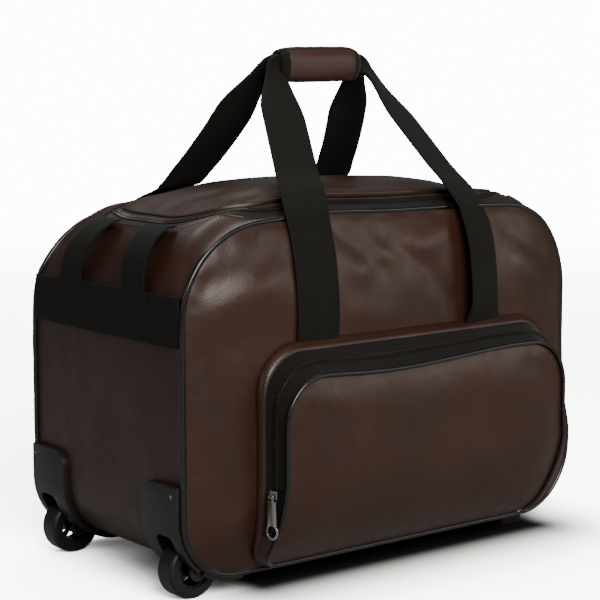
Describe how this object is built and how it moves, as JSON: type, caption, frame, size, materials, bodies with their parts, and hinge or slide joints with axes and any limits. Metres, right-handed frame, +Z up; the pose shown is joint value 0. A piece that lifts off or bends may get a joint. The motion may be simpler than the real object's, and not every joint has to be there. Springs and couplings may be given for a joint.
{
  "type": "wheeled holdall",
  "caption": "Soft faux-leather holdall with a zipped lid, zipped front pocket, carrying handles joined by a wrapped grip, corner wheels and a telescopic pull handle.",
  "frame": {"origin": "middle of the whole footprint, on the floor", "axes": "+Z up, +X along the bag away from the wheels, -Y towards the front pocket"},
  "size_m": [0.5264, 0.3474, 0.515],
  "materials": {
    "faux_leather": "satin",
    "webbing": "matte",
    "piping": "gloss",
    "zip_tape": "matte",
    "zip_teeth": "satin",
    "zip_metal": "satin",
    "housing_plastic": "matte",
    "wheel_tyre": "satin",
    "wheel_hub": "satin",
    "steel": "satin",
    "aluminium_tube": "satin",
    "base_board": "matte",
    "lining": "matte"
  },
  "bodies": {
    "bag": {"lower_gusset": "faux_leather", "top_gusset": "faux_leather", "front_panel": "faux_leather", "back_panel": "faux_leather", "front_piping": "piping", "back_piping": "piping", "main_zip_tape_outer": "zip_tape", "main_zip_teeth_outer": "zip_teeth", "main_zip_tail_tapes": "zip_tape", "main_zip_tail_teeth": "zip_teeth", "pocket_gusset": "faux_leather", "pocket_zip_tape_outer": "zip_tape", "pocket_zip_teeth_outer": "zip_teeth", "pocket_tail_zip_tape": "zip_tape", "pocket_tail_zip_teeth": "zip_teeth", "pocket_front_lower": "faux_leather", "pocket_piping_lower": "piping", "front_strap_anchors": "webbing", "rear_strap_anchors": "webbing", "end_band": "webbing", "end_loops": "webbing", "wheel_housing_front": "housing_plastic", "wheel_housing_rear": "housing_plastic", "housing_rivets": "steel", "wheel_axle_front": "steel", "wheel_axle_rear": "steel", "base_feet": "housing_plastic", "foot_screws": "steel", "base_board": "base_board", "trolley_outer_tubes": "aluminium_tube", "tube_brackets": "housing_plastic", "trolley_bezel": "housing_plastic", "lining": "lining"},
    "lid": {"lid_panel": "faux_leather", "lid_zip_tape": "zip_tape", "lid_zip_teeth": "zip_teeth"},
    "main_slider": {"main_zip_slider": "zip_metal"},
    "main_puller": {"main_zip_puller": "zip_metal"},
    "pocket_flap": {"pocket_front_flap": "faux_leather", "pocket_piping_flap": "piping", "pocket_flap_zip_tape": "zip_tape", "pocket_flap_zip_teeth": "zip_teeth"},
    "pocket_slider": {"pocket_zip_slider": "zip_metal"},
    "pocket_puller": {"pocket_zip_puller": "zip_metal"},
    "front_handle": {"front_handle_strap": "webbing", "grip_wrap": "faux_leather"},
    "grip_cover": {"grip_flap": "faux_leather"},
    "rear_handle": {"rear_handle_strap": "webbing"},
    "front_wheel": {"wheel_tyre_front": "wheel_tyre", "wheel_hub_front": "wheel_hub", "wheel_bush_front": "wheel_hub"},
    "rear_wheel": {"wheel_tyre_rear": "wheel_tyre", "wheel_hub_rear": "wheel_hub", "wheel_bush_rear": "wheel_hub"},
    "trolley_middle": {"trolley_middle_tubes": "aluminium_tube", "trolley_stage_collars": "housing_plastic"},
    "trolley_inner": {"trolley_inner_tubes": "aluminium_tube", "trolley_grip": "housing_plastic"},
    "trolley_release": {"release_button": "housing_plastic", "release_rods": "steel"}
  },
  "joints": [
    {"name": "lid_open", "type": "hinge", "parent": "bag", "child": "lid", "pos_m": [-0.00525, 0.0813, 0.364], "axis": [-1, 0, 0], "range_deg": [0, 105]},
    {"name": "front_handle_fold", "type": "hinge", "parent": "bag", "child": "front_handle", "pos_m": [-0.00525, -0.12014, 0.344], "axis": [1, 0, 0], "range_deg": [0, 147]},
    {"name": "rear_handle_fold", "type": "hinge", "parent": "bag", "child": "rear_handle", "pos_m": [-0.00525, 0.15874, 0.344], "axis": [-1, 0, 0], "range_deg": [0, 147]},
    {"name": "grip_cover_open", "type": "hinge", "parent": "front_handle", "child": "grip_cover", "pos_m": [-0.00525, 0.028, 0.5139], "axis": [1, 0, 0], "range_deg": [0, 157.5]},
    {"name": "main_slider_run", "type": "slide", "parent": "bag", "child": "main_slider", "axis": [0, -1, 0], "range_m": [0, 0.08]},
    {"name": "main_puller_swing", "type": "hinge", "parent": "main_slider", "child": "main_puller", "pos_m": [0.20526, 0.0713, 0.35511], "axis": [0.8525, 0, -0.5227], "range_deg": [0, 150]},
    {"name": "pocket_flap_open", "type": "hinge", "parent": "bag", "child": "pocket_flap", "pos_m": [-0.00525, -0.1734, 0.1082], "axis": [1, 0, 0], "range_deg": [0, 110]},
    {"name": "pocket_slider_run", "type": "slide", "parent": "bag", "child": "pocket_slider", "axis": [0, 0, 1], "range_m": [0, 0.065]},
    {"name": "pocket_puller_swing", "type": "hinge", "parent": "pocket_slider", "child": "pocket_puller", "pos_m": [-0.18379, -0.15295, 0.1015], "axis": [-0.206, 0.9785, 0], "range_deg": [0, 150]},
    {"name": "front_wheel_spin", "type": "hinge", "parent": "bag", "child": "front_wheel", "pos_m": [-0.23325, -0.0857, 0.0275], "axis": [0, 1, 0], "continuous": true},
    {"name": "rear_wheel_spin", "type": "hinge", "parent": "bag", "child": "rear_wheel", "pos_m": [-0.23325, 0.1243, 0.0275], "axis": [0, 1, 0], "continuous": true},
    {"name": "trolley_first_stage", "type": "slide", "parent": "bag", "child": "trolley_middle", "axis": [1, 0, 0], "range_m": [0, 0.33]},
    {"name": "trolley_second_stage", "type": "slide", "parent": "trolley_middle", "child": "trolley_inner", "axis": [1, 0, 0], "range_m": [0, 0.33]},
    {"name": "trolley_release_press", "type": "slide", "parent": "trolley_inner", "child": "trolley_release", "axis": [-1, 0, 0], "range_m": [0, 0.003], "stiffness_N_per_m": 600}
  ],
  "couplings": [
    {"joint": "front_handle_fold", "follows": "lid_open", "ratio": 1.4},
    {"joint": "rear_handle_fold", "follows": "lid_open", "ratio": 1.4},
    {"joint": "grip_cover_open", "follows": "lid_open", "ratio": 1.5}
  ]
}
